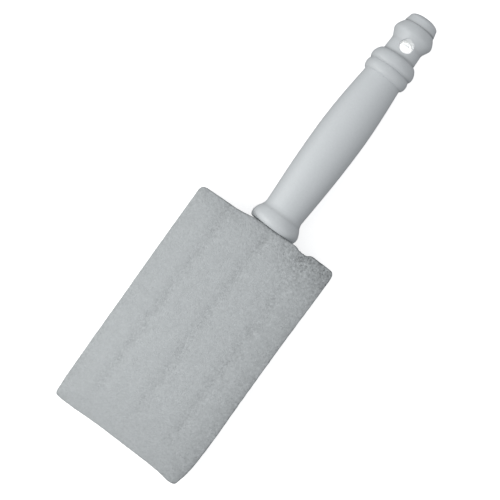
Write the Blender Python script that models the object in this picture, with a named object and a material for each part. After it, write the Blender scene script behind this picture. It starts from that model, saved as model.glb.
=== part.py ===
"""A foam sponge brush, lying on its back.

+X runs across the foam, +Y from the foam's tip to the end of the handle, +Z up.
The origin is the middle of the outline on the surface that the brush lies on. Metres.
"""

import math

import bmesh
import bpy
from mathutils import Matrix, Vector

MM = 0.001
FIT_GAP = 0.3 * MM  # left between pieces that touch

# The whole brush
AXIS_X = 0.75 * MM  # the handle stands a little to one side of the foam's middle
AXIS_Z = 14 * MM  # the middle of the foam's thickness, where the handle's axis lies
FOOT_Y = 0.7 * MM  # the handle's foot face

# Handle, along its axis from the foot
HANDLE_LENGTH = 127.3 * MM
TURN_STEPS = 48
CURVE_STEPS = 5
FOOT_RADIUS = 11.2 * MM
COLLAR_RADIUS = 13.2 * MM
COLLAR_MIDDLE = 3.2 * MM
GRIP_START = 10.9 * MM
GRIP_START_RADIUS = 10.4 * MM
GRIP_MIDDLE = 56 * MM
GRIP_MIDDLE_RADIUS = 12.15 * MM
GRIP_END = 90 * MM
GRIP_END_RADIUS = 10.2 * MM
SMALL_BEAD_START = 91.1 * MM
SMALL_BEAD_MIDDLE = 94.3 * MM
SMALL_BEAD_RADIUS = 11.75 * MM
BEAD_GROOVE = 96.9 * MM
BEAD_GROOVE_RADIUS = 11 * MM
LARGE_BEAD_MIDDLE = 99.2 * MM
LARGE_BEAD_RADIUS = 11.95 * MM
NECK_START = 104.1 * MM
NECK_START_RADIUS = 8.85 * MM
NECK_END = 110.6 * MM
NECK_END_RADIUS = 8.6 * MM
KNOB_MIDDLE = 116.3 * MM
KNOB_RADIUS = 10.7 * MM
CREASE = 121.3 * MM
CREASE_RADIUS = 8.1 * MM
CREASE_HALF_WIDTH = 0.3 * MM
CAP_RADIUS = 8.45 * MM
DOME_START = 124.4 * MM
DOME_RADIUS = 7.75 * MM
DOME_FULLNESS = 0.9  # below 1 is fuller than a quarter circle
BEAD_FULLNESS = 1.7  # 2 is a quarter circle, less is flatter
FLANK_FULLNESS = 1.5  # 1 is a cone, more is rounder
SHARP_EDGE_DEG = 35  # a steeper turn between faces shows as an edge

# The socket cored into the handle's foot
SOCKET_MOUTH_RADIUS = 8.3 * MM
SOCKET_END_RADIUS = 7.6 * MM
SOCKET_DEPTH = 86 * MM
SOCKET_END_ROUND = 3 * MM
SOCKET_ROUND_MIDDLE = 0.3  # where the round passes, as a share of its radius from the corner

# The hole to hang the brush by
HANG_HOLE = 109.6 * MM
HANG_HOLE_RADIUS = 3.1 * MM
HANG_HOLE_MOUTH_RADIUS = 3.5 * MM

# Foam
FOAM_THICKNESS = 28 * MM
TIP_THICKNESS = 4 * MM
TIP_Y = -128 * MM
BEVEL_START_Y = -97.5 * MM
BEVEL_CUT_BEYOND = 4 * MM  # how far the bevel cutter runs past the foam
GLUE_LINE = 0.15 * MM  # each slab's share of the bond between the two
POCKET_MARGIN = 0.8 * MM

# The foam's outline, clockwise from the left end of its tip, seen from above
FOAM_OUTLINE_MM = (
    (-34.6, -126.5),
    (-36.4, -124.8),
    (-37.1, -97),
    (-38.2, -40),
    (-38.7, -4.5),
    (-38.1, -2.7),
    (-36.4, -2),
    (-22, -1.4),
    (-10, 0.2),
    (13.2, 0.3),
    (13.8, 0.9),
    (16, 0.9),
    (17.2, 0),
    (22.4, 0),
    (24.2, 1.4),
    (35.7, 1.4),
    (37.2, 0.5),
    (37.7, -1.2),
    (37.7, -42),
    (38.2, -78),
    (38.7, -97),
    (38.2, -115),
    (37.2, -125.4),
    (36.2, -127.6),
    (32.5, -128),
    (22, -126.7),
    (-11, -126.1),
)

# Paddle inside the foam
BLADE_THICKNESS = 2.4 * MM
BLADE_WIDTH = 64 * MM
BLADE_BOTTOM_Y = -92 * MM
BLADE_SHOULDER_Y = -14 * MM
BLADE_CORNER = 8 * MM
STEM_WIDTH = 14 * MM
STEM_START_Y = -3 * MM
SLOT_WIDTH = 9 * MM
SLOT_PITCH = 21.4 * MM
SLOT_BOTTOM_Y = -84 * MM
SLOT_TOP_Y = -20 * MM
CORNER_STEPS = 6
PADDLE_SHARP_EDGE_DEG = 30

# The paddle's tang, along the handle's axis from the foot
TANG_LENGTH = 35 * MM
TANG_HALF_WIDTH = 6.8 * MM
WEB_THICKNESS = 2.2 * MM
WEB_START = 2 * MM
BARB_COUNT = 4
BARB_FIRST = 5 * MM
BARB_PITCH = 8 * MM
BARB_LENGTH = 3 * MM
BARB_RELIEF = 1.1 * MM

# Hot-melt glue in the paddle's slots
GLUE_WIDTH = 5 * MM
GLUE_NAMES = ("left", "centre", "right")

WHITE_PLASTIC = ("white moulded plastic", (0.59, 0.61, 0.62, 1), 0.42)
PADDLE_PLASTIC = ("natural plastic", (0.7, 0.71, 0.68, 1), 0.5)
GREY_FOAM = ("pale grey foam", (0.46, 0.49, 0.5, 1), 0.95)
GLUE_CLEAR = ("hot-melt glue", (0.72, 0.68, 0.55, 1), 0.3)


def clear_scene():
    for obj in list(bpy.data.objects):
        bpy.data.objects.remove(obj, do_unlink=True)


def material(look):
    name, colour, roughness = look
    found = bpy.data.materials.get(name)
    if found:
        return found
    made = bpy.data.materials.new(name)
    made.use_nodes = True
    shader = made.node_tree.nodes["Principled BSDF"]
    shader.inputs["Base Color"].default_value = colour
    shader.inputs["Roughness"].default_value = roughness
    shader.inputs["Metallic"].default_value = 0
    return made


def object_from(bm, name, look):
    bmesh.ops.recalc_face_normals(bm, faces=bm.faces)
    mesh = bpy.data.meshes.new(name)
    bm.to_mesh(mesh)
    bm.free()
    mesh.materials.append(material(look))
    obj = bpy.data.objects.new(name, mesh)
    bpy.context.scene.collection.objects.link(obj)
    return obj


def helper_from(bm, name):
    """A cutter, or a shape that a Boolean joins to another."""
    obj = object_from(bm, name, PADDLE_PLASTIC)
    obj.hide_render = True
    obj.display_type = "WIRE"
    return obj


def boolean(obj, other, operation):
    modifier = obj.modifiers.new(f"{operation.lower()} {other.name}", "BOOLEAN")
    modifier.operation = operation
    modifier.solver = "EXACT"
    modifier.object = other


def smooth(obj, degrees):
    obj.data.shade_smooth()
    obj.data.set_sharp_from_angle(angle=math.radians(degrees))


def extruded(bm, outline, low, high):
    """Adds the closed solid of a flat outline, from height low to height high."""
    base = bm.faces.new([bm.verts.new((x, y, low)) for x, y in outline])
    moved = bmesh.ops.extrude_face_region(bm, geom=[base])["geom"]
    top = [v for v in moved if isinstance(v, bmesh.types.BMVert)]
    bmesh.ops.translate(bm, verts=top, vec=(0, 0, high - low))


def arc(centre_x, centre_y, radius, start_deg, end_deg, steps):
    angles = [
        math.radians(start_deg + (end_deg - start_deg) * i / steps)
        for i in range(steps + 1)
    ]
    return [
        (centre_x + radius * math.cos(a), centre_y + radius * math.sin(a))
        for a in angles
    ]


def stretch(start, end, shape):
    """Points of a profile from start to end, (place, radius) pairs that shape(0..1) leads between."""
    points = []
    for i in range(1, CURVE_STEPS + 1):
        share = i / CURVE_STEPS
        place = start[0] + (end[0] - start[0]) * share
        radius = start[1] + (end[1] - start[1]) * shape(share)
        points.append((place, radius))
    return points


def ogee(share):
    return share * share * (3 - 2 * share)


def rising(share):
    return math.sin(share * math.pi / 2)


def falling(share):
    return 1 - math.cos(share * math.pi / 2)


def quarter_out(share):
    return math.sqrt(1 - (1 - share) ** 2)


def quarter_in(share):
    return 1 - (1 - share**BEAD_FULLNESS) ** (1 / BEAD_FULLNESS)


def flank(share):
    return share**FLANK_FULLNESS


def dome_points():
    """The rounded end of the handle, down to its point on the axis."""
    points = []
    for i in range(1, CURVE_STEPS + 1):
        turn = math.pi / 2 * i / CURVE_STEPS
        place = DOME_START + (HANDLE_LENGTH - DOME_START) * math.sin(turn) ** DOME_FULLNESS
        radius = DOME_RADIUS * math.cos(turn) ** DOME_FULLNESS
        points.append((place, radius))
    points[-1] = (HANDLE_LENGTH, 0.0)
    return points


def handle_outer_profile():
    """(place along the axis, radius) from the rim of the foot to the end of the dome."""
    collar = (COLLAR_MIDDLE, COLLAR_RADIUS)
    grip_start = (GRIP_START, GRIP_START_RADIUS)
    grip_middle = (GRIP_MIDDLE, GRIP_MIDDLE_RADIUS)
    grip_end = (GRIP_END, GRIP_END_RADIUS)
    bead_start = (SMALL_BEAD_START, GRIP_END_RADIUS)
    small_bead = (SMALL_BEAD_MIDDLE, SMALL_BEAD_RADIUS)
    groove = (BEAD_GROOVE, BEAD_GROOVE_RADIUS)
    large_bead = (LARGE_BEAD_MIDDLE, LARGE_BEAD_RADIUS)
    neck_start = (NECK_START, NECK_START_RADIUS)
    neck_end = (NECK_END, NECK_END_RADIUS)
    knob = (KNOB_MIDDLE, KNOB_RADIUS)
    crease_near = (CREASE - CREASE_HALF_WIDTH, CAP_RADIUS)
    crease = (CREASE, CREASE_RADIUS)
    crease_far = (CREASE + CREASE_HALF_WIDTH, CAP_RADIUS)
    dome = (DOME_START, DOME_RADIUS)
    points = [(0, FOOT_RADIUS)]
    points += stretch(points[-1], collar, quarter_out)
    points += stretch(collar, grip_start, ogee)
    points += stretch(grip_start, grip_middle, rising)
    points += stretch(grip_middle, grip_end, falling)
    points.append(bead_start)
    points += stretch(bead_start, small_bead, quarter_out)
    points += stretch(small_bead, groove, falling)
    points += stretch(groove, large_bead, quarter_out)
    points += stretch(large_bead, neck_start, quarter_in)
    points.append(neck_end)
    points += stretch(neck_end, knob, ogee)
    points += stretch(knob, crease_near, flank)
    points += [crease, crease_far, dome]
    return points + dome_points()


def socket_radius(place):
    """The socket's taper, which lets the moulding core draw out."""
    share = place / SOCKET_DEPTH
    return SOCKET_MOUTH_RADIUS + (SOCKET_END_RADIUS - SOCKET_MOUTH_RADIUS) * share


def socket_profile():
    """(place, radius) from the socket's closed end to the rim of its mouth."""
    round_start = SOCKET_DEPTH - SOCKET_END_ROUND
    edge = socket_radius(round_start)
    cut = SOCKET_END_ROUND * SOCKET_ROUND_MIDDLE
    return [
        (SOCKET_DEPTH, 0.0),
        (SOCKET_DEPTH, edge - SOCKET_END_ROUND),
        (SOCKET_DEPTH - cut, edge - cut),
        (round_start, edge),
        (0, SOCKET_MOUTH_RADIUS),
    ]


def turned(bm, profile, place_of):
    """Spins a profile of (place, radius) pairs round the line that place_of gives."""
    verts = [bm.verts.new(place_of(place, radius)) for place, radius in profile]
    edges = [bm.edges.new(pair) for pair in zip(verts, verts[1:])]
    middle = place_of(0, 0)
    direction = place_of(1, 0) - middle
    bmesh.ops.spin(
        bm,
        geom=verts + edges,
        cent=middle,
        axis=direction,
        angle=math.tau,
        steps=TURN_STEPS,
        use_merge=True,
    )
    bmesh.ops.remove_doubles(bm, verts=bm.verts, dist=0.001 * MM)


def along_handle(place, radius):
    return Vector((AXIS_X + radius, FOOT_Y + place, AXIS_Z))


def up_the_hang_hole(place, radius):
    return Vector((AXIS_X + radius, FOOT_Y + HANG_HOLE, AXIS_Z + place))


def hang_hole_cutter():
    """Two cones that meet in the middle, as the two moulding pins leave the hole."""
    bm = bmesh.new()
    reach = NECK_START_RADIUS + 2 * MM
    widening = HANG_HOLE_MOUTH_RADIUS - HANG_HOLE_RADIUS
    end_radius = HANG_HOLE_RADIUS + widening * reach / NECK_END_RADIUS
    profile = [
        (reach, 0),
        (reach, end_radius),
        (0, HANG_HOLE_RADIUS),
        (-reach, end_radius),
        (-reach, 0),
    ]
    turned(bm, profile, up_the_hang_hole)
    return helper_from(bm, "hang hole cutter")


def make_handle():
    bm = bmesh.new()
    profile = socket_profile() + handle_outer_profile()
    turned(bm, profile, along_handle)
    handle = object_from(bm, "handle", WHITE_PLASTIC)
    boolean(handle, hang_hole_cutter(), "DIFFERENCE")
    smooth(handle, SHARP_EDGE_DEG)
    return handle


def slot_outline(centre_x, width, bottom, top):
    """A long slot with round ends."""
    half = width / 2
    lower = arc(centre_x, bottom + half, half, 180, 360, CORNER_STEPS)
    upper = arc(centre_x, top - half, half, 0, 180, CORNER_STEPS)
    return lower + upper


def blade_outline(margin):
    """The paddle's flat outline up to the top of its stem, grown by a margin."""
    half = BLADE_WIDTH / 2 + margin
    corner = BLADE_CORNER + margin
    stem = STEM_WIDTH / 2 + margin
    bottom = BLADE_BOTTOM_Y - margin
    left = arc(AXIS_X - half + corner, bottom + corner, corner, 270, 180, CORNER_STEPS)
    right = arc(AXIS_X + half - corner, bottom + corner, corner, 0, -90, CORNER_STEPS)
    return [
        *left,
        (AXIS_X - half, BLADE_SHOULDER_Y + margin),
        (AXIS_X - stem, STEM_START_Y + margin),
        (AXIS_X - stem, FOOT_Y + WEB_START),
        (AXIS_X + stem, FOOT_Y + WEB_START),
        (AXIS_X + stem, STEM_START_Y + margin),
        (AXIS_X + half, BLADE_SHOULDER_Y + margin),
        *right,
    ]


def slot_centres():
    return [AXIS_X + SLOT_PITCH * i for i in (-1, 0, 1)]


def tang_plate():
    bm = bmesh.new()
    low = AXIS_Z - BLADE_THICKNESS / 2
    high = AXIS_Z + BLADE_THICKNESS / 2
    far = FOOT_Y + TANG_LENGTH
    near = FOOT_Y + WEB_START / 2
    left = AXIS_X - TANG_HALF_WIDTH
    right = AXIS_X + TANG_HALF_WIDTH
    outline = [(left, near), (left, far), (right, far), (right, near)]
    extruded(bm, outline, low, high)
    return helper_from(bm, "tang plate")


def tang_web():
    bm = bmesh.new()
    near = FOOT_Y + WEB_START
    far = FOOT_Y + TANG_LENGTH - BARB_RELIEF
    left = AXIS_X - WEB_THICKNESS / 2
    right = AXIS_X + WEB_THICKNESS / 2
    outline = [(left, near), (left, far), (right, far), (right, near)]
    extruded(bm, outline, AXIS_Z - TANG_HALF_WIDTH, AXIS_Z + TANG_HALF_WIDTH)
    return helper_from(bm, "tang web")


def barb(index):
    """A ring that slopes in towards the socket and grips its wall with a sharp back edge."""
    start = BARB_FIRST + BARB_PITCH * index
    radius = socket_radius(start) - FIT_GAP
    profile = [
        (start + BARB_LENGTH, 0),
        (start + BARB_LENGTH, radius - BARB_RELIEF),
        (start, radius),
        (start, 0),
    ]
    bm = bmesh.new()
    turned(bm, profile, along_handle)
    return helper_from(bm, f"barb {index + 1}")


def make_paddle():
    bm = bmesh.new()
    low = AXIS_Z - BLADE_THICKNESS / 2
    high = AXIS_Z + BLADE_THICKNESS / 2
    extruded(bm, blade_outline(0), low, high)
    paddle = object_from(bm, "paddle", PADDLE_PLASTIC)
    for number, centre in enumerate(slot_centres(), 1):
        bm = bmesh.new()
        outline = slot_outline(centre, SLOT_WIDTH, SLOT_BOTTOM_Y, SLOT_TOP_Y)
        extruded(bm, outline, low - MM, high + MM)
        boolean(paddle, helper_from(bm, f"slot cutter {number}"), "DIFFERENCE")
    for piece in [tang_plate(), tang_web(), *map(barb, range(BARB_COUNT))]:
        boolean(paddle, piece, "UNION")
    smooth(paddle, PADDLE_SHARP_EDGE_DEG)
    return paddle


def bevel_cutter(side):
    """The wedge of foam cut away between the bevel and the slab's flat outer face."""
    face = FOAM_THICKNESS / 2
    reach = TIP_Y - BEVEL_CUT_BEYOND
    slope = (face - TIP_THICKNESS / 2) / (BEVEL_START_Y - TIP_Y)
    beyond = BEVEL_CUT_BEYOND
    outline = [
        (BEVEL_START_Y + beyond, face + slope * beyond),
        (BEVEL_START_Y + beyond, face + slope * beyond + beyond),
        (reach, face + slope * beyond + beyond),
        (reach, TIP_THICKNESS / 2 - slope * (TIP_Y - reach)),
    ]
    bm = bmesh.new()
    extruded(bm, outline, -FOAM_THICKNESS * 2, FOAM_THICKNESS * 2)
    turn = Matrix(((0, 0, 1), (1, 0, 0), (0, side, 0))).to_4x4()
    bm.transform(Matrix.Translation((0, 0, AXIS_Z)) @ turn)
    return helper_from(bm, f"bevel cutter {side:+d}")


def pocket_cutter():
    """The paddle's bed in the foam, open at the top edge for its stem."""
    bm = bmesh.new()
    half = BLADE_THICKNESS / 2 + FIT_GAP
    extruded(bm, blade_outline(POCKET_MARGIN), AXIS_Z - half, AXIS_Z + half)
    return helper_from(bm, "pocket cutter")


def make_foam_slab(name, side, pocket):
    """One slab, on the side of the paddle that the sign gives."""
    outline = [(x * MM, y * MM) for x, y in FOAM_OUTLINE_MM]
    inner = AXIS_Z + side * GLUE_LINE
    outer = AXIS_Z + side * FOAM_THICKNESS / 2
    bm = bmesh.new()
    extruded(bm, outline, min(inner, outer), max(inner, outer))
    slab = object_from(bm, name, GREY_FOAM)
    boolean(slab, bevel_cutter(side), "DIFFERENCE")
    boolean(slab, pocket, "DIFFERENCE")
    return slab


def make_glue_bead(name, slot_centre):
    """One line of glue, as thick as the paddle, that stays clear of the slot's walls."""
    bm = bmesh.new()
    inset = (SLOT_WIDTH - GLUE_WIDTH) / 2
    outline = slot_outline(slot_centre, GLUE_WIDTH, SLOT_BOTTOM_Y + inset, SLOT_TOP_Y - inset)
    half = BLADE_THICKNESS / 2
    extruded(bm, outline, AXIS_Z - half, AXIS_Z + half)
    return object_from(bm, name, GLUE_CLEAR)


def build():
    clear_scene()
    make_handle()
    make_paddle()
    pocket = pocket_cutter()
    make_foam_slab("foam_front", 1, pocket)
    make_foam_slab("foam_back", -1, pocket)
    for name, centre in zip(GLUE_NAMES, slot_centres()):
        make_glue_bead(f"glue_bead_{name}", centre)


build()
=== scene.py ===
"""The looks of a foam sponge brush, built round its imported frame.

The frame's axes: +X across the foam, +Y from the foam's tip to the end of the handle, +Z up.
Sizes and places are in mm, and MM turns them to metres where a mesh, lamp or camera is placed.
"""

import math

import bmesh
import bpy
import numpy as np
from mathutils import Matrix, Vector, kdtree, noise


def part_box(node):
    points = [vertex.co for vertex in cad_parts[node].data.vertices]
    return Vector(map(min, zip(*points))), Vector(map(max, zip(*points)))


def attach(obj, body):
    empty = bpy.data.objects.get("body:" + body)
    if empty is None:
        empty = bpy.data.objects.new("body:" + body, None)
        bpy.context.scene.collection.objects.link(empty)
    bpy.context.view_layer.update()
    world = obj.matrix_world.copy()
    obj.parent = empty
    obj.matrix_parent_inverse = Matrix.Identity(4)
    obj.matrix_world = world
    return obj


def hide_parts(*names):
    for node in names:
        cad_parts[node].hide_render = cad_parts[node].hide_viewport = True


MM = 0.001

# Where the pieces lie
AXIS_X = 0.75
FOOT_Y = 0.7
FOAM_HALF = 14  # half the foam's thickness, and the height of the handle's axis
TIP_Y = -128

# Handle: (place along its axis from the foot, radius)
HANDLE_LENGTH = 127.3
FOOT_RADIUS = 11.5
COLLAR = (3.1, 13.15)
COLLAR_FOLD = (8.1, 11)
COLLAR_FULLNESS = 1.6
GRIP_START = (10.9, 10.36)
GRIP_MIDDLE = (56, 12.15)
GRIP_END = (90, 10.2)
SMALL_BEAD_START = (91.1, 10.2)
SMALL_BEAD = (94.3, 11.75)
BEAD_GROOVE = (96.9, 11)
LARGE_BEAD = (99.2, 11.95)
NECK_START = (104.1, 8.85)
NECK_END = (110.6, 8.6)
KNOB = (116.3, 10.7)
CREASE = (121.3, 8.1)
CREASE_LIP = (0.3, 8.45)
DOME_START = (124.4, 7.75)
DOME_FULLNESS = 0.9
BEAD_FULLNESS = 1.7
FLANK_FULLNESS = 1.5
SOCKET_MOUTH_RADIUS = 8.3
SOCKET_END_RADIUS = 7.6
SOCKET_DEPTH = 86
SOCKET_END_ROUND = 3
SOCKET_SPACING = 8
TURN_SEGMENTS = 240
DOME_STEPS = 24
ROUND_STEPS = 5
MERGE_DISTANCE = 0.002
HANDLE_SHARP_EDGE_DEG = 40

# The hole to hang the brush by
HANG_HOLE = 109.6
HOLE_RADIUS = 3.1
HOLE_MOUTH_RADIUS = 3.5
HOLE_EDGE = 0.3
HOLE_WINDOW = 4.9  # half the opening that is cut in the turned skin and closed again round the hole
SKIN_RINGS = (0.2, 0.4, 0.58, 0.74, 0.88, 1)
BORE_RINGS = (0.12, 0.3, 0.55, 0.8, 1)

# Handle's surface
PARTING_LINE = 0.14
GROOVE_SHADE_AND_GRIME = (  # painted shade in the turned grooves, with a little grime: place along the axis, width, how much darker
    (8.3, 0.8, 0.12),
    (97.1, 0.7, 0.11),
    (104.3, 0.9, 0.2),
    (110.8, 1, 0.07),
    (121.4, 0.55, 0.28),
)

# Foam's cut edge, clockwise from the tip's left end, and where its four sides meet
FOAM_CUT = (
    (-36.7, -122.5),
    (-36.9, -110),
    (-37.1, -97),
    (-37.6, -66),
    (-38.2, -40),
    (-38.65, -8),
    (-38.7, -4.9),
    (-38.35, -3.4),
    (-37.5, -2.5),
    (-36.2, -2),
    (-34, -1.87),
    (-28.5, -1.62),
    (-22.7, -1.5),
    (-17, -1.17),
    (-13.5, -0.65),
    (-10.5, -0.05),
    (-7, 0.4),
    (-2, 0.62),
    (6, 0.65),
    (10.5, 0.7),
    (13, 0.92),
    (15.5, 0.95),
    (16.2, 0.8),
    (16.9, 0.3),
    (17.8, 0.14),
    (21.6, 0.1),
    (22.5, 0.35),
    (23.3, 0.9),
    (24, 1.42),
    (24.9, 1.58),
    (29, 1.52),
    (35.2, 1.45),
    (36.3, 1.2),
    (37.1, 0.55),
    (37.6, -0.6),
    (37.75, -3),
    (37.75, -42),
    (38.2, -78),
    (38.65, -97),
    (38.62, -113),
    (38.3, -119),
    (37.6, -123.2),
    (37.15, -125.7),
    (36.7, -126.9),
    (35.3, -127.6),
    (33, -127.85),
    (28, -127.15),
    (22, -126.65),
    (5, -126.3),
    (-11, -126.05),
    (-20, -126.3),
    (-28, -126.5),
    (-33.8, -126.4),
    (-35.5, -126),
    (-36.3, -125.1),
)
FOAM_CORNERS = ((-35.9, -125.7), (-37.9, -2.8), (36.8, 0.9), (36.9, -126.6))
CURVE_STEPS = 40

# Foam's face
TIP_HALF_THICKNESS = 2
BEVEL_START = -97.5
BEVEL_SOFTNESS = 3.2
VALLEY_PITCH = 21.4
VALLEY_WIDTH = 2.2
VALLEY_DEPTH = 0.3
VALLEY_WANDER = 0.5
VALLEY_WANDER_SIZE = 14
VALLEY_PATCHINESS = 0.5
VALLEY_PATCH_SIZE = 5
VALLEY_END = -112
VALLEY_FADE = 4
CROWN = 0.3
EDGE_PULL = 1.4
EDGE_PULL_REACH = 7
TOP_PINCH = 1
TOP_PINCH_REACH = 7
FOAM_EDGE = 0.6
THIN_EDGE = 0.45  # the most that the rounded edge takes of a slab's height
FOOT_ROLL = 0.8
FOOT_ROLL_REACH = 10
FOOT_ROLL_Y = -3

# Foam's side walls
WALL_BULGE = 0.25
THIN_WALL = 6  # a wall lower than this bulges less
SEAM_CLEARANCE = 0.03
SEAM_GROOVE = 0.35
SEAM_GROOVE_HEIGHT = 0.7
FOOT_CONTACT = 0.66
FOOT_WRAP = 0.6

# The bed in the slabs that the paddle lies in
PADDLE_BED = 34
PADDLE_BED_TIP = -94
PADDLE_BED_TOP = -12
PADDLE_BED_DEPTH = 1.6
STEM_BED = 9
STEM_BED_OVERLAP = 2
BED_STEP = 0.8

# Foam's unevenness: (patch size, height, shift of the pattern)
FACE_GRAIN = ((1.4, 0.035, 0), (3.5, 0.06, 0))
FACE_GRAIN_START = 1.2  # from the edge, where the grain reaches its full height
WALL_GRAIN = ((1.5, 0.05, 3), (4, 0.09, 3))
CUT_GRAIN = ((1.1, 0.05, 5), (3.5, 0.09, 6))
TORN_GRAIN = ((0.9, 0.22, 7), (2, 0.1, 8))
TORN_X = 17.5
TORN_REACH = 4.5
TORN_ABOVE = -2

# Foam's wear, soil and painted shade
NOTCH = (19, -4)
NOTCH_REACH = (9, 8)
DARK_CORNER = (28, -1)
DARK_CORNER_REACH = (13, 9)
SIDE_X = 38
RIM_SHADE_AND_SOIL_REACH = 0.4
WALL_WEAR_AND_SOIL = (0.9, 0.03)

# Foam's meshes
FACE_ROWS = 288
FACE_COLUMNS = 176
WALL_LEVELS = 26
SEAM_FACE_STRIDE = 4  # the hidden face takes every fourth row and column
EDGE_FINENESS = 0.45
EDGE_FINE_ROWS = 8

# Colours
WHITE_PLASTIC = (0.585, 0.61, 0.622)
FOAM_GREY = (0.461, 0.483, 0.49)
FOAM_CELL = 0.55
NATURAL_PLASTIC = (0.7, 0.71, 0.68)
GLUE_YELLOW = (0.72, 0.68, 0.55)
TABLE_WHITE = (0.8, 0.8, 0.8)

# Stage
TABLE_GLOW = 0.65
TABLE_HALF = 3  # metres
TABLE_GAP = 0.2
ROOM_LIGHT = 0.54
HORIZON = (-0.6, 0.3)
SKY_BELOW = 0.25
SKY_TINT = (0.985, 1, 1.03)
LAMP_COLOUR = (1, 1, 0.985)
BRUSH_MIDDLE = (0, -20, 14)
HOLE_Y = FOOT_Y + HANG_HOLE
LAMPS = (  # name, place, what it points at, size, watts
    ("key, over the tip", (-260, -170, 300), (-20, -80, 14), 180, 0.81),
    ("low from the left", (-900, -50, 350), BRUSH_MIDDLE, 350, 1.42),
    ("from the right", (700, -50, 700), BRUSH_MIDDLE, 350, 0.54),
    ("beyond the handle", (0, 800, 700), BRUSH_MIDDLE, 350, 0.71),
    ("up through the hang hole", (AXIS_X, HOLE_Y, 5.8), (AXIS_X, HOLE_Y, FOAM_HALF), 5.6, 0.0004),
)
CAMERA_PLACE = (-1.63, -13.5, 691.6)
CAMERA_TURN_DEG = 36.5
CAMERA_LENS = 100
CAMERA_SENSOR = 36
CAMERA_NEAR = 0.01  # metres


def mesh_object(name, mesh):
    """A new object of the mesh, in the scene."""
    made = bpy.data.objects.new(name, mesh)
    bpy.context.scene.collection.objects.link(made)
    return made


# ---------------------------------------------------------------- node trees


class Wire:
    """The value of one socket. Sums and products of wires add Math nodes to its tree."""

    def __init__(self, bench, made, socket):
        self.bench = bench
        self.made = made
        self.socket = socket

    def other(self, output):
        return Wire(self.bench, self.made, usable(self.made.outputs, output))

    def maths(self, operation, *others):
        return self.bench.maths(operation, self, *others)

    def __add__(self, other):
        return self.maths("ADD", other)

    def __sub__(self, other):
        return self.maths("SUBTRACT", other)

    def __rsub__(self, other):
        return self.bench.maths("SUBTRACT", other, self)

    def __mul__(self, other):
        return self.maths("MULTIPLY", other)

    def __truediv__(self, other):
        return self.maths("DIVIDE", other)

    __radd__ = __add__
    __rmul__ = __mul__


def usable(sockets, key):
    """The socket that a name or a number means, among those the node's settings leave on."""
    if isinstance(key, int):
        return [s for s in sockets if s.enabled][key]
    return next(s for s in sockets if s.enabled and s.name == key)


class Bench:
    """A node tree being built."""

    def __init__(self, tree):
        self.tree = tree

    def maths(self, operation, *values):
        return self.node("ShaderNodeMath", {"operation": operation}, *values)

    def node(self, kind, settings=None, *values, **named):
        """Adds a node. Values fill its sockets in order, and named ones by name, with _ for a space."""
        made = self.tree.nodes.new(kind)
        for name, setting in (settings or {}).items():
            setattr(made, name, setting)
        wanted = list(enumerate(values))
        wanted += [(name.replace("_", " "), value) for name, value in named.items()]
        for key, value in wanted:
            socket = usable(made.inputs, key)
            if isinstance(value, Wire):
                self.tree.links.new(value.socket, socket)
            else:
                socket.default_value = value
        return Wire(self, made, usable(made.outputs, 0)) if made.outputs else made


class Finish(Bench):
    """A material being built round one Principled shader."""

    def __init__(self, name, **constants):
        self.material = bpy.data.materials.new(name)
        self.material.use_nodes = True
        super().__init__(self.material.node_tree)
        self.shader = self.tree.nodes["Principled BSDF"]
        for socket, value in constants.items():
            self.shader.inputs[socket.replace("_", " ")].default_value = value
        spot = self.node("ShaderNodeTexCoord").other("Object")
        self.place = self.node("ShaderNodeVectorMath", {"operation": "SCALE"}, spot, Scale=1 / MM)

    def feed(self, **wires):
        for socket, wire in wires.items():
            self.tree.links.new(wire.socket, self.shader.inputs[socket.replace("_", " ")])

    def uneven(self, size, detail=2, roughness=0.5):
        """Smooth random unevenness, about -0.5 to 0.5, with patches about size mm across."""
        value = self.node(
            "ShaderNodeTexNoise",
            None,
            Vector=self.place,
            Scale=1 / size,
            Detail=detail,
            Roughness=roughness,
        )
        return value - 0.5

    def tinted(self, colour, *shades):
        """The colour, brightened or darkened by each wire's share."""
        total = 1 + shades[0]
        for shade in shades[1:]:
            total = total + shade
        tint = self.node("ShaderNodeCombineXYZ", None, total, total, total)
        return self.node("ShaderNodeVectorMath", {"operation": "MULTIPLY"}, tint, colour)

    def bump(self, height, distance, strength=1.0):
        return self.node(
            "ShaderNodeBump", None, Strength=strength, Distance=distance * MM, Height=height
        )


# ---------------------------------------------------------------- finishes


def moulded_white():
    """Satin white plastic, as a polished but worn mould leaves it."""
    finish = Finish("satin white plastic", Roughness=0.42)
    cloud = finish.uneven(14, 3) * 0.03
    speckle = finish.uneven(0.9, 2) * 0.1
    along = finish.node("ShaderNodeSeparateXYZ", None, finish.place).other("Y") - FOOT_Y
    grime_and_groove_shade = finish.uneven(0.6, 2) * 0.02
    # painted shade: each turned groove darkens the colour where shade falls in it, over a fine random
    # grime
    for place, width, share in GROOVE_SHADE_AND_GRIME:
        off = (along - place) / width
        grime_and_groove_shade = grime_and_groove_shade + (off * off * -1).maths("EXPONENT") * share
    finish.feed(Base_Color=finish.tinted(WHITE_PLASTIC, cloud, speckle, grime_and_groove_shade * -1))
    finish.feed(Roughness=0.44 + finish.uneven(3, 4) * 0.12)
    level = finish.node("ShaderNodeSeparateXYZ", None, finish.place).other("Z") - FOAM_HALF
    parting_line = (1 - level.maths("ABSOLUTE") / PARTING_LINE).maths("MAXIMUM", 0.0)
    skin = finish.uneven(0.45, 3) * 0.3 + finish.uneven(5, 2) + parting_line * 2
    finish.feed(Normal=finish.bump(skin, 0.02))
    return finish.material


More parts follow.
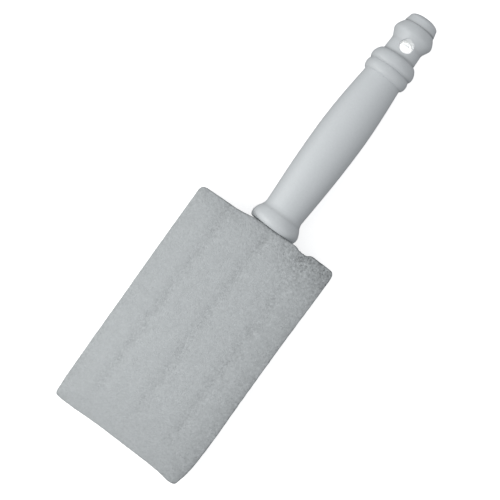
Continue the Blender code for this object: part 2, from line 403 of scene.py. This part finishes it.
def open_cell_foam():
    """Pale grey polyurethane foam: fine open cells, cut across, fluffed where it is worn."""
    finish = Finish("pale grey foam", Roughness=0.95, Specular_IOR_Level=0.15)
    worn = finish.node("ShaderNodeAttribute", {"attribute_name": "worn"}).other("Fac")
    # this attribute holds painted shade (right side, rim, valleys) mixed with some soil
    soil_and_shade = finish.node("ShaderNodeAttribute", {"attribute_name": "soil_and_shade"}).other("Fac")
    cells = finish.node("ShaderNodeTexVoronoi", None, Vector=finish.place, Scale=1 / FOAM_CELL)
    cell = (cells - 0.45) * -0.05
    mottle = finish.uneven(5, 2.5, 0.8) * 0.15
    fluff = finish.uneven(1.25, 1.8, 0.9) * worn * 0.32
    pits = (finish.uneven(0.85, 1) - 0.1).maths("MAXIMUM", 0.0) * soil_and_shade * 7
    shades = (mottle + fluff + cell) * worn
    # painted shade and soil darken the colour unevenly, with dark pits
    shade_and_dirt = soil_and_shade * (1 + finish.uneven(1.8, 2, 0.7) * 3.5) + pits
    finish.feed(Base_Color=finish.tinted(FOAM_GREY, shades, shade_and_dirt * -1))
    height = cell * 8 + finish.uneven(1.2, 3, 0.7) * worn
    finish.feed(Normal=finish.bump(height, 0.3))
    return finish.material


def natural_plastic():
    """Unpainted plastic of the paddle, slightly cloudy."""
    finish = Finish("natural plastic", Roughness=0.5)
    finish.feed(Base_Color=finish.tinted(NATURAL_PLASTIC, finish.uneven(4, 3) * 0.05))
    finish.feed(Normal=finish.bump(finish.uneven(0.8, 3), 0.03))
    return finish.material


def set_glue():
    """Hot-melt glue, slightly yellow, with a rolled skin."""
    finish = Finish("hot-melt glue", Roughness=0.3)
    finish.feed(Base_Color=finish.tinted(GLUE_YELLOW, finish.uneven(2, 3) * 0.12))
    finish.feed(Normal=finish.bump(finish.uneven(1.5, 3), 0.15))
    return finish.material


def lit_table():
    """A white table, lit from below."""
    finish = Finish("lit white table", Roughness=0.9, Specular_IOR_Level=0.1)
    finish.shader.inputs["Emission Strength"].default_value = TABLE_GLOW
    finish.shader.inputs["Emission Color"].default_value = (1, 1, 1, 1)
    finish.feed(Base_Color=finish.tinted(TABLE_WHITE, finish.uneven(160, 2) * 0.004))
    return finish.material


# ---------------------------------------------------------------- handle


def stretch(start, end, shape, spacing):
    """Points of a profile after start, up to end. The shape turns shares of the way into radii."""
    run = math.hypot(end[0] - start[0], end[1] - start[1])
    count = max(2, round(run / spacing))
    shares = [(i + 1) / count for i in range(count)]
    return [
        (start[0] + (end[0] - start[0]) * s, start[1] + (end[1] - start[1]) * shape(s))
        for s in shares
    ]


def straight(share):
    return share


def ogee(share):
    return share * share * (3 - 2 * share)


def rising(share):
    return math.sin(share * math.pi / 2)


def falling(share):
    return 1 - math.cos(share * math.pi / 2)


def quarter_out(share):
    return math.sqrt(1 - (1 - share) ** 2)


def quarter_in(share):
    return 1 - (1 - share**BEAD_FULLNESS) ** (1 / BEAD_FULLNESS)


def shoulder(share):
    return share**COLLAR_FULLNESS


def flank(share):
    return share**FLANK_FULLNESS


def dome():
    """The handle's rounded end, a little fuller than an ellipse."""
    points = []
    for i in range(1, DOME_STEPS + 1):
        turn = math.pi / 2 * i / DOME_STEPS
        rise = math.sin(turn) ** DOME_FULLNESS
        place = DOME_START[0] + (HANDLE_LENGTH - DOME_START[0]) * rise
        points.append((place, DOME_START[1] * max(0.0, math.cos(turn)) ** DOME_FULLNESS))
    points[-1] = (HANDLE_LENGTH, 0.0)
    return points


def handle_outside():
    """(place along the axis, radius) from the foot to the end of the dome."""
    lip, lip_radius = CREASE_LIP
    crease_near = (CREASE[0] - lip, lip_radius)
    crease_far = (CREASE[0] + lip, lip_radius)
    legs = (  # where each leg of the profile ends, its shape, and how far apart its points lie
        (COLLAR, quarter_out, 0.2),
        (COLLAR_FOLD, shoulder, 0.3),
        (GRIP_START, rising, 0.35),
        (GRIP_MIDDLE, rising, 1),
        (GRIP_END, falling, 1),
        (SMALL_BEAD_START, straight, 0.3),
        (SMALL_BEAD, quarter_out, 0.2),
        (BEAD_GROOVE, falling, 0.25),
        (LARGE_BEAD, quarter_out, 0.2),
        (NECK_START, quarter_in, 0.2),
        (NECK_END, straight, 0.4),
        (KNOB, ogee, 0.35),
        (crease_near, flank, 0.4),
        (CREASE, falling, 0.15),
        (crease_far, rising, 0.15),
        (DOME_START, straight, 0.5),
    )
    start = (0, FOOT_RADIUS)
    points = [start]
    for end, shape, spacing in legs:
        points += stretch(start, end, shape, spacing)
        start = end
    return points + dome()


def handle_inside():
    """The socket in the foot, from its mouth to its closed end."""
    draft = (SOCKET_END_RADIUS - SOCKET_MOUTH_RADIUS) / SOCKET_DEPTH
    start = SOCKET_DEPTH - SOCKET_END_ROUND
    edge = SOCKET_MOUTH_RADIUS + draft * start
    points = [(0, SOCKET_MOUTH_RADIUS)]
    points += stretch(points[-1], (start, edge), straight, SOCKET_SPACING)
    for i in range(1, ROUND_STEPS + 1):
        turn = math.pi / 2 * i / ROUND_STEPS
        place = start + SOCKET_END_ROUND * math.sin(turn)
        points.append((place, edge - SOCKET_END_ROUND * (1 - math.cos(turn))))
    return points + [(SOCKET_DEPTH, 0.0)]


def turning_tree(material):
    """Geometry nodes that turn a profile, drawn as a line of points, round an axis along Y."""
    tree = bpy.data.node_groups.new("Turned profile", "GeometryNodeTree")
    socket = tree.interface.new_socket
    socket("Profile", in_out="INPUT", socket_type="NodeSocketGeometry")
    socket("Segments", in_out="INPUT", socket_type="NodeSocketInt")
    socket("Axis X", in_out="INPUT", socket_type="NodeSocketFloat")
    socket("Axis Z", in_out="INPUT", socket_type="NodeSocketFloat")
    socket("Turned", in_out="OUTPUT", socket_type="NodeSocketGeometry")
    bench = Bench(tree)
    profile = bench.node("NodeGroupInput")
    segments = profile.other("Segments")
    points = bench.node("GeometryNodeAttributeDomainSize", None, profile)
    grid = bench.node("GeometryNodeMeshGrid", None, 1.0, 1.0, segments + 1, points)
    spot = bench.node("GeometryNodeInputPosition")
    split = bench.node("ShaderNodeSeparateXYZ", None, spot)
    turn = (split + 0.5) * math.tau
    row = (split.other("Y") + 0.5) * (points - 1)
    place = bench.node(
        "GeometryNodeSampleIndex",
        {"data_type": "FLOAT_VECTOR", "domain": "POINT"},
        Geometry=profile,
        Value=spot,
        Index=row.maths("ROUND"),
    )
    drawn = bench.node("ShaderNodeSeparateXYZ", None, place)
    across = drawn * turn.maths("SINE") + profile.other("Axis X")
    up = drawn * turn.maths("COSINE") + profile.other("Axis Z")
    where = bench.node("ShaderNodeCombineXYZ", None, across, drawn.other("Y"), up)
    turned = bench.node("GeometryNodeSetPosition", None, Geometry=grid, Position=where)
    closed = bench.node(
        "GeometryNodeMergeByDistance", None, Geometry=turned, Distance=MERGE_DISTANCE * MM
    )
    solid = bench.node("GeometryNodeRealizeInstances", None, closed)
    dressed = bench.node("GeometryNodeSetMaterial", None, Geometry=solid, Material=material)
    bench.node("NodeGroupOutput", None, dressed)
    return tree


def made_by(tree, name, drawn, **sizes):
    """Runs a geometry tree on a drawn mesh and keeps the result as a plain mesh."""
    source = mesh_object(name + " drawing", drawn)
    modifier = source.modifiers.new(tree.name, "NODES")
    modifier.node_group = tree
    for item in tree.interface.items_tree:
        wanted = item.name.replace(" ", "_")
        if item.in_out == "INPUT" and wanted in sizes:
            modifier[item.identifier] = sizes[wanted]
    graph = bpy.context.evaluated_depsgraph_get()
    mesh = bpy.data.meshes.new_from_object(source.evaluated_get(graph))
    mesh.name = name
    source.modifiers.remove(modifier)
    bpy.data.objects.remove(source)
    return mesh_object(name, mesh)


def bored(bm, axis, outside):
    """Opens the hang hole through a turned handle, with its rounded rims and its two drafted halves."""
    hole = Vector((axis.x, axis.y + HANG_HOLE * MM))
    places = [axis.y + place * MM for place, _ in outside]
    radii = [radius * MM for _, radius in outside]
    reach = math.asin(HOLE_WINDOW / NECK_END[1])

    def on_skin(x, y):
        """How far above the axis the handle's skin lies."""
        radius = np.interp(y, places, radii)
        return math.sqrt(radius * radius - (x - axis.x) ** 2)

    def in_window(face):
        middle = face.calc_center_median()
        out = math.hypot(middle.x - axis.x, middle.z - axis.z)
        turn = math.asin(min(1, abs(middle.x - axis.x) / out))
        return turn < reach and abs(middle.y - hole.y) < HOLE_WINDOW * MM

    cut = [face for face in bm.faces if in_window(face)]
    bmesh.ops.delete(bm, geom=cut, context="FACES")
    rims = []
    for side in (1, -1):
        loop = [v for v in bm.verts if v.is_boundary and (v.co.z - axis.z) * side > 0]
        loop.sort(key=lambda v: math.atan2(v.co.y - hole.y, v.co.x - hole.x))
        rims.append(bored_half(bm, loop, side, axis.z, hole, on_skin))
    join_loops(bm, rims[0], rims[1])


def bored_half(bm, loop, side, axis_z, hole, on_skin):
    """Carries the skin from the edge of the opening in to the rim, over it and down to the middle."""
    outs = [Vector((v.co.x - hole.x, v.co.y - hole.y)) for v in loop]
    ways = [out.normalized() for out in outs]
    mouth = (HOLE_MOUTH_RADIUS + HOLE_EDGE) * MM
    rings = []
    for share in SKIN_RINGS:
        spots = [
            hole + way * (out.length + (mouth - out.length) * share) for out, way in zip(outs, ways)
        ]
        rings.append([(spot.x, spot.y, on_skin(spot.x, spot.y)) for spot in spots])
    for step in range(1, ROUND_STEPS + 1):
        turn = math.pi / 2 * step / ROUND_STEPS
        drop = HOLE_EDGE * MM * (1 - math.cos(turn))
        spots = [hole + way * (mouth - HOLE_EDGE * MM * math.sin(turn)) for way in ways]
        rings.append([(spot.x, spot.y, on_skin(spot.x, spot.y) - drop) for spot in spots])
    heights = [height for _, _, height in rings[-1]]
    for share in BORE_RINGS:
        radius = (HOLE_MOUTH_RADIUS + (HOLE_RADIUS - HOLE_MOUTH_RADIUS) * share) * MM
        spots = [hole + way * radius for way in ways]
        rings.append(
            [(spot.x, spot.y, height * (1 - share)) for spot, height in zip(spots, heights)]
        )
    last = loop
    for ring in rings:
        made = [bm.verts.new((x, y, axis_z + side * height)) for x, y, height in ring]
        join_loops(bm, last, made)
        last = made
    return last


def join_loops(bm, first, second):
    """Faces between two loops of as many points."""
    for i in range(len(first)):
        j = (i + 1) % len(first)
        bm.faces.new((first[i], first[j], second[j], second[i]))


def make_handle():
    """The visible handle: a profile turned by geometry nodes, then bored."""
    low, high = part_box("handle")
    axis = Vector(((low.x + high.x) / 2, low.y, (low.z + high.z) / 2))
    outside = handle_outside()
    profile = outside[::-1] + handle_inside()
    drawn = bpy.data.meshes.new("handle profile")
    spots = [(radius * MM, axis.y + place * MM, 0) for place, radius in profile]
    drawn.from_pydata(spots, [(i, i + 1) for i in range(len(spots) - 1)], [])
    white = moulded_white()
    tree = turning_tree(white)
    handle = made_by(
        tree, "turned_handle", drawn, Segments=TURN_SEGMENTS, Axis_X=axis.x, Axis_Z=axis.z
    )
    bm = bmesh.new()
    bm.from_mesh(handle.data)
    bored(bm, axis, outside)
    bmesh.ops.remove_doubles(bm, verts=bm.verts, dist=MERGE_DISTANCE / 2 * MM)
    bmesh.ops.recalc_face_normals(bm, faces=bm.faces)
    bm.to_mesh(handle.data)
    bm.free()
    handle.data.materials.clear()
    handle.data.materials.append(white)
    handle.data.shade_smooth()
    handle.data.set_sharp_from_angle(angle=math.radians(HANDLE_SHARP_EDGE_DEG))
    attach(handle, "root")
    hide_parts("handle")


# ---------------------------------------------------------------- foam


def curve_through(points, steps):
    """A closed smooth line through the points, a centripetal Catmull-Rom curve."""
    pts = np.array(points, float)
    line = []
    for i in range(len(pts)):
        a, b, c, d = (pts[(i + k) % len(pts)] for k in (-1, 0, 1, 2))
        knots = [0.0]
        for start, end in ((a, b), (b, c), (c, d)):
            knots.append(knots[-1] + math.sqrt(np.linalg.norm(end - start)))
        t0, t1, t2, t3 = knots
        for t in np.linspace(t1, t2, steps, endpoint=False):
            ab = (a * (t1 - t) + b * (t - t0)) / (t1 - t0)
            bc = (b * (t2 - t) + c * (t - t1)) / (t2 - t1)
            cd = (c * (t3 - t) + d * (t - t2)) / (t3 - t2)
            abc = (ab * (t2 - t) + bc * (t - t0)) / (t2 - t0)
            bcd = (bc * (t3 - t) + cd * (t - t1)) / (t3 - t1)
            line.append((abc * (t2 - t) + bcd * (t - t1)) / (t2 - t1))
    return np.array(line)


def uneven(points, size, shift=0.0):
    """Smooth unevenness, about -1 to 1, with patches about size mm across. Shift picks its pattern."""
    offset = Vector((shift, shift * 1.7, -shift))
    return np.array([noise.noise(Vector(p) / size + offset) for p in points])


def grained(points, grain, shift=0.0):
    """The heights of a grain, one of the lists of unevenness above, at the points."""
    return sum(uneven(points, size, own + shift) * height for size, height, own in grain)


def near(value, middle, reach):
    """1 at the middle, falling softly to nothing beyond its reach."""
    return np.exp(-(((value - middle) / reach) ** 2))


def fading_below(value, level, reach):
    """1 from the level up, and fading softly below it."""
    return np.exp(np.minimum(0, value - level) / reach)


def outward_ways(line):
    """The way out of a closed line at each of its points."""
    ahead = np.roll(line, -1, 0) - np.roll(line, 1, 0)
    outward = np.stack([-ahead[:, 1], ahead[:, 0]], 1)
    return outward / np.linalg.norm(outward, axis=1)[:, None]


def cut_edge():
    """The foam's outline, with the small steps and tears that a knife leaves in foam."""
    line = curve_through(FOAM_CUT, CURVE_STEPS)
    spots = np.concatenate([line, np.zeros((len(line), 1))], 1)
    torn = near(line[:, 0], TORN_X, TORN_REACH) * (line[:, 1] > TORN_ABOVE)
    rough = grained(spots, CUT_GRAIN) + torn * grained(spots, TORN_GRAIN)
    return line + outward_ways(line) * rough[:, None]


def graded(count):
    """Shares from 0 to 1 that lie closer together near both ends."""
    step = np.ones(count)
    for i in range(EDGE_FINE_ROWS):
        step[i] = step[-1 - i] = EDGE_FINENESS + (1 - EDGE_FINENESS) * i / EDGE_FINE_ROWS
    return np.concatenate([[0], np.cumsum(step)]) / step.sum()


def cut_sides(line, counts):
    """The outline as four sides (left, top, right, tip), each a line of points between corners."""
    starts = [int(np.argmin(np.linalg.norm(line - corner, axis=1))) for corner in FOAM_CORNERS]
    sides = []
    for k, count in enumerate(counts):
        start, end = starts[k], starts[(k + 1) % len(starts)]
        if end <= start:
            end += len(line)
        part = line[np.arange(start, end + 1) % len(line)]
        run = np.concatenate([[0], np.cumsum(np.linalg.norm(np.diff(part, axis=0), axis=1))])
        places = graded(count) * run[-1]
        sides.append(np.stack([np.interp(places, run, part[:, axis]) for axis in (0, 1)], 1))
    return sides


def filled_between(left, top, right, tip):
    """A grid of points that fills the outline, rows from the tip up and columns from the left."""
    u = np.linspace(0, 1, len(top))[None, :, None]
    v = np.linspace(0, 1, len(left))[:, None, None]
    low, high = tip[None], top[None]
    west, east = left[:, None], right[:, None]
    corners = (
        (1 - u) * (1 - v) * left[0]
        + u * (1 - v) * right[0]
        + (1 - u) * v * left[-1]
        + u * v * right[-1]
    )
    return (1 - v) * low + v * high + (1 - u) * west + u * east - corners


def distances_to(line, places):
    """How far each place lies from the line."""
    tree = kdtree.KDTree(len(line))
    for i, spot in enumerate(line):
        tree.insert((*spot, 0), i)
    tree.balance()
    return np.array([tree.find((*spot, 0))[2] for spot in places])


def softly_over(amount, softness):
    """The amount where it is well above 0, and nearly nothing below, turning softly between."""
    return softness * np.logaddexp(0, amount / softness)


def seam_level(x, y):
    """How far above the middle plane a slab's inner face lies: it opens round the paddle."""
    from_axis = np.abs(x - AXIS_X)
    blade = np.minimum(PADDLE_BED - from_axis, np.minimum(y - PADDLE_BED_TIP, PADDLE_BED_TOP - y))
    stem = np.minimum(STEM_BED - from_axis, y - PADDLE_BED_TOP + STEM_BED_OVERLAP)
    inside = np.clip(np.maximum(blade, stem) / BED_STEP, 0, 1)
    return SEAM_CLEARANCE + (PADDLE_BED_DEPTH - SEAM_CLEARANCE) * inside


def valleys_at(x, y):
    """How deep each place lies in one of the three wandering, patchy valleys, from 0 to about 1."""
    line = np.stack([y, np.zeros_like(y), np.zeros_like(y)], 1)
    valleys = 0
    for k in (-1, 0, 1):
        wander = VALLEY_WANDER * uneven(line, VALLEY_WANDER_SIZE, 20 + k)
        middle = AXIS_X + VALLEY_PITCH * k + wander
        valleys = valleys + near(x, middle, VALLEY_WIDTH * math.sqrt(2))
    places = np.stack([x, y, np.zeros_like(x)], 1)
    patchy = 1 + VALLEY_PATCHINESS * uneven(places, VALLEY_PATCH_SIZE, 30)
    return valleys * patchy / (1 + np.exp((VALLEY_END - y) / VALLEY_FADE))


def face_height(side, x, y, from_edge, valley):
    """Height of a slab's outer face above the middle plane."""
    taper = (FOAM_HALF - TIP_HALF_THICKNESS) / (BEVEL_START - TIP_Y)
    height = FOAM_HALF - taper * softly_over(BEVEL_START - y, BEVEL_SOFTNESS)
    if side > 0:
        pulled_in = EDGE_PULL * np.exp(-from_edge / EDGE_PULL_REACH)
        pinched = TOP_PINCH * fading_below(y, 0, TOP_PINCH_REACH)
        height = height + CROWN - pulled_in - pinched - VALLEY_DEPTH * valley
    across_foot = np.exp(-(((x - AXIS_X) / FOOT_ROLL_REACH) ** 4))
    by_foot = across_foot * fading_below(y, FOOT_ROLL_Y, 1)
    rim = np.minimum(FOAM_EDGE + FOOT_ROLL * by_foot, THIN_EDGE * height)
    inner = np.clip(rim - from_edge, 0, None)
    return height - rim + np.sqrt(rim * rim - inner * inner)


def wear_soil_and_shade(x, y, from_edge, valley):
    """How fluffed the foam's face is at each place, and how much its colour is darkened: painted shade
    on the right side, along the rim and in the valleys, some soil at the rim, a darker patch at the top
    right corner, and darker towards the left edge and the top.
    """
    to_top = fading_below(y, 0, 12)
    to_right = 1 / (1 + np.exp(-(x - 2) / 10))
    by_notch = near(x, NOTCH[0], NOTCH_REACH[0]) * near(y, NOTCH[1], NOTCH_REACH[1])
    worn = 0.85 + 0.25 * to_right + 0.45 * to_top + 0.3 * valley + 0.55 * by_notch
    # painted shade: the right side is darkened, as if turned away from the light
    painted_shade_right = np.exp((x - SIDE_X) / 8)
    left_side = np.exp(-(x + SIDE_X) / 6) * (1 - y / 90)
    # a darker patch at the top right corner
    dark_corner = near(x, DARK_CORNER[0], DARK_CORNER_REACH[0])
    dark_corner = dark_corner * near(y, DARK_CORNER[1], DARK_CORNER_REACH[1])
    # along the cut rim: painted shade, stronger on the right, with some soil at the edge
    rim = np.exp(-from_edge / RIM_SHADE_AND_SOIL_REACH)
    # darker towards the left edge near the tip and towards the top edge, and painted shade in the
    # valleys
    soil_and_shade = 0.16 * painted_shade_right + 0.06 * left_side + 0.07 * fading_below(y, 0, 6)
    soil_and_shade += 0.16 * dark_corner + 0.035 * valley + (0.1 + 0.12 * to_right) * rim
    return worn, soil_and_shade


def rim_of(rows, columns):
    """The numbers of a grid's points round its rim, up the left side first."""
    rim = (
        [(r, 0) for r in range(rows)]
        + [(rows, c) for c in range(columns)]
        + [(r, columns) for r in range(rows, 0, -1)]
        + [(0, c) for c in range(columns, 0, -1)]
    )
    return [r * (columns + 1) + c for r, c in rim]


def wall_ring(edge, outward, share, side):
    """One ring of a slab's side wall, a share of the way from its face's rim to the seam."""
    x, y, top = edge.T
    z = top + (seam_level(x, y) - top) * share
    body = np.minimum(1, top / THIN_WALL)
    out = WALL_BULGE * np.sin(math.pi * share) * body
    out = out - SEAM_GROOVE * np.clip(1 - z / SEAM_GROOVE_HEIGHT, 0, 1) ** 2 * body
    out = out + grained(np.stack([x, y, z * side], 1), WALL_GRAIN) * min(1, share * 6)
    wall_x = x + outward[:, 0] * out
    wall_y = y + outward[:, 1] * out
    from_axis = np.hypot(wall_x - AXIS_X, z)
    foot = FOOT_CONTACT + np.clip((from_axis - FOOT_RADIUS) / FOOT_WRAP, 0, 1) * FOOT_WRAP
    by_foot = from_axis < FOOT_RADIUS + FOOT_WRAP
    wall_y = np.where(by_foot, np.minimum(wall_y, foot), wall_y)
    return np.stack([wall_x, wall_y, z], 1)


def seam_face(grid, rim, last, count):
    """The slab's hidden inner face: its new points, numbered from count, and its faces."""
    stride = SEAM_FACE_STRIDE
    rows, columns = (length // stride for length in (grid.shape[0] - 1, grid.shape[1] - 1))
    at_rim = dict(zip(rim, last))
    numbers = np.zeros((rows + 1, columns + 1), int)
    points = []
    for r in range(rows + 1):
        for c in range(columns + 1):
            if r in (0, rows) or c in (0, columns):
                numbers[r, c] = at_rim[(r * grid.shape[1] + c) * stride]
            else:
                x, y = grid[r * stride, c * stride]
                numbers[r, c] = count + len(points)
                points.append((x, y, float(seam_level(x, y))))
    place = {number: k for k, number in enumerate(last)}
    faces = []
    for r in range(rows):
        for c in range(columns):
            around = [numbers[r, c], numbers[r + 1, c], numbers[r + 1, c + 1], numbers[r, c + 1]]
            polygon = []
            for a, b in zip(around, around[1:] + around[:1]):
                polygon.append(int(a))
                if a in place and b in place:
                    gap = (place[b] - place[a]) % len(last)
                    way = 1 if gap == stride else -1
                    if gap in (stride, len(last) - stride):
                        polygon += [last[(place[a] + way * k) % len(last)] for k in range(1, stride)]
            faces.append(polygon)
    return points, faces


def make_foam_slab(name, node, side, line, foam):
    """One slab of foam inside the cut line: side is 1 for the front one and -1 for the back."""
    left, top, right, tip = cut_sides(line, (FACE_ROWS, FACE_COLUMNS, FACE_ROWS, FACE_COLUMNS))
    grid = filled_between(left, top, right[::-1], tip[::-1])
    flat = grid.reshape(-1, 2)
    x, y = flat.T
    rim = rim_of(FACE_ROWS, FACE_COLUMNS)
    from_edge = distances_to(line, flat)
    from_edge[rim] = 0
    valley = valleys_at(x, y)
    face = np.stack([x, y, face_height(side, x, y, from_edge, valley)], 1)
    grain = grained(face, FACE_GRAIN, side)
    if side < 0:
        grain = np.minimum(0, grain)
    face[:, 2] += grain * np.clip(from_edge / FACE_GRAIN_START, 0, 1)
    points = [face]
    count = len(face)
    across = FACE_COLUMNS + 1
    corners = [r * across + c for r in range(FACE_ROWS) for c in range(FACE_COLUMNS)]
    faces = [(a, a + 1, a + across + 1, a + across) for a in corners]
    edge = face[rim]
    outward = outward_ways(edge[:, :2])
    last = rim
    for level in range(1, WALL_LEVELS + 1):
        points.append(wall_ring(edge, outward, level / WALL_LEVELS, side))
        made = list(range(count, count + len(rim)))
        count += len(rim)
        faces += zip(last[1:] + last[:1], last, made, made[1:] + made[:1])
        last = made
    inner_points, inner_faces = seam_face(grid, rim, last, count)
    points = np.concatenate(points + [np.array(inner_points)])
    points[:, 2] = FOAM_HALF + side * points[:, 2]
    mesh = bpy.data.meshes.new(name)
    mesh.from_pydata((points * MM).tolist(), [], faces + inner_faces)
    bm = bmesh.new()
    bm.from_mesh(mesh)
    bmesh.ops.recalc_face_normals(bm, faces=bm.faces)
    bm.to_mesh(mesh)
    bm.free()
    # worn sets the fluff; the second mark is painted shade with some soil
    on_face = wear_soil_and_shade(x, y, from_edge, valley)
    for mark, values, on_walls in zip(("worn", "soil_and_shade"), on_face, WALL_WEAR_AND_SOIL):
        everywhere = np.full(len(points), on_walls)
        everywhere[: len(flat)] = values
        mesh.attributes.new(mark, "FLOAT", "POINT").data.foreach_set("value", everywhere)
    mesh.materials.append(foam)
    mesh.shade_smooth()
    slab = mesh_object(name, mesh)
    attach(slab, "root")
    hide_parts(node)


# ---------------------------------------------------------------- stage


def make_table():
    """A pale table that glows but throws no light on the brush."""
    bm = bmesh.new()
    bmesh.ops.create_grid(bm, x_segments=8, y_segments=8, size=TABLE_HALF)
    mesh = bpy.data.meshes.new("floor")
    bm.to_mesh(mesh)
    bm.free()
    mesh.materials.append(lit_table())
    floor = mesh_object("floor", mesh)
    floor.location.z = -TABLE_GAP * MM
    floor.visible_diffuse = False
    floor.visible_glossy = False


def softbox(name, place, target, size, watts):
    """A square soft light that the camera doesn't see."""
    lamp = bpy.data.lights.new(name, "AREA")
    lamp.shape = "SQUARE"
    lamp.size = size * MM
    lamp.energy = watts
    lamp.color = LAMP_COLOUR
    made = bpy.data.objects.new(name, lamp)
    bpy.context.scene.collection.objects.link(made)
    made.location = Vector(place) * MM
    way = (Vector(target) - Vector(place)).to_track_quat("-Z", "Y")
    made.rotation_euler = way.to_euler()
    made.visible_camera = False


def set_up_room():
    """A room that is bright above the horizon and dimmer below it."""
    world = bpy.data.worlds.new("studio")
    bpy.context.scene.world = world
    world.use_nodes = True
    bench = Bench(world.node_tree)
    way = bench.node("ShaderNodeTexCoord").other("Generated")
    height = bench.node("ShaderNodeSeparateXYZ", None, way).other("Z")
    soft = {"interpolation_type": "SMOOTHSTEP"}
    sky = bench.node("ShaderNodeMapRange", soft, height, *HORIZON, SKY_BELOW, 1.0)
    tint = bench.node("ShaderNodeCombineXYZ", None, *(sky * share for share in SKY_TINT))
    room = world.node_tree.nodes["Background"]
    world.node_tree.links.new(tint.socket, room.inputs["Color"])
    room.inputs["Strength"].default_value = ROOM_LIGHT


def set_up_camera():
    lens = bpy.data.cameras.new("camera")
    lens.lens = CAMERA_LENS
    lens.sensor_width = CAMERA_SENSOR
    lens.clip_start = CAMERA_NEAR
    camera = bpy.data.objects.new("camera", lens)
    bpy.context.scene.collection.objects.link(camera)
    camera.location = Vector(CAMERA_PLACE) * MM
    camera.rotation_euler.z = math.radians(CAMERA_TURN_DEG)
    bpy.context.scene.camera = camera


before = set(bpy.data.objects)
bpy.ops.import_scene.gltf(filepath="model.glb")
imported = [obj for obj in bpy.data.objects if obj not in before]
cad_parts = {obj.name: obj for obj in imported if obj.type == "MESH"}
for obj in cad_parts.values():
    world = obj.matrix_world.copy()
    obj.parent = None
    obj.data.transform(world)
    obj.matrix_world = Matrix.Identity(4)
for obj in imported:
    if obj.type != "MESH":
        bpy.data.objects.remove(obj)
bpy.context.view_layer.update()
bpy.context.scene.view_settings.view_transform = "Standard"
set_up_camera()
for lamp in LAMPS:
    softbox(*lamp)
set_up_room()
make_table()
make_handle()
foam = open_cell_foam()
line = cut_edge()
make_foam_slab("foam_face", "foam_front", 1, line, foam)
make_foam_slab("foam_bed", "foam_back", -1, line, foam)
inside = {"paddle": natural_plastic(), "glue": set_glue()}
for name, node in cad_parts.items():
    finish = inside.get(name.split("_")[0])
    if finish:
        node.material_slots[0].material = finish
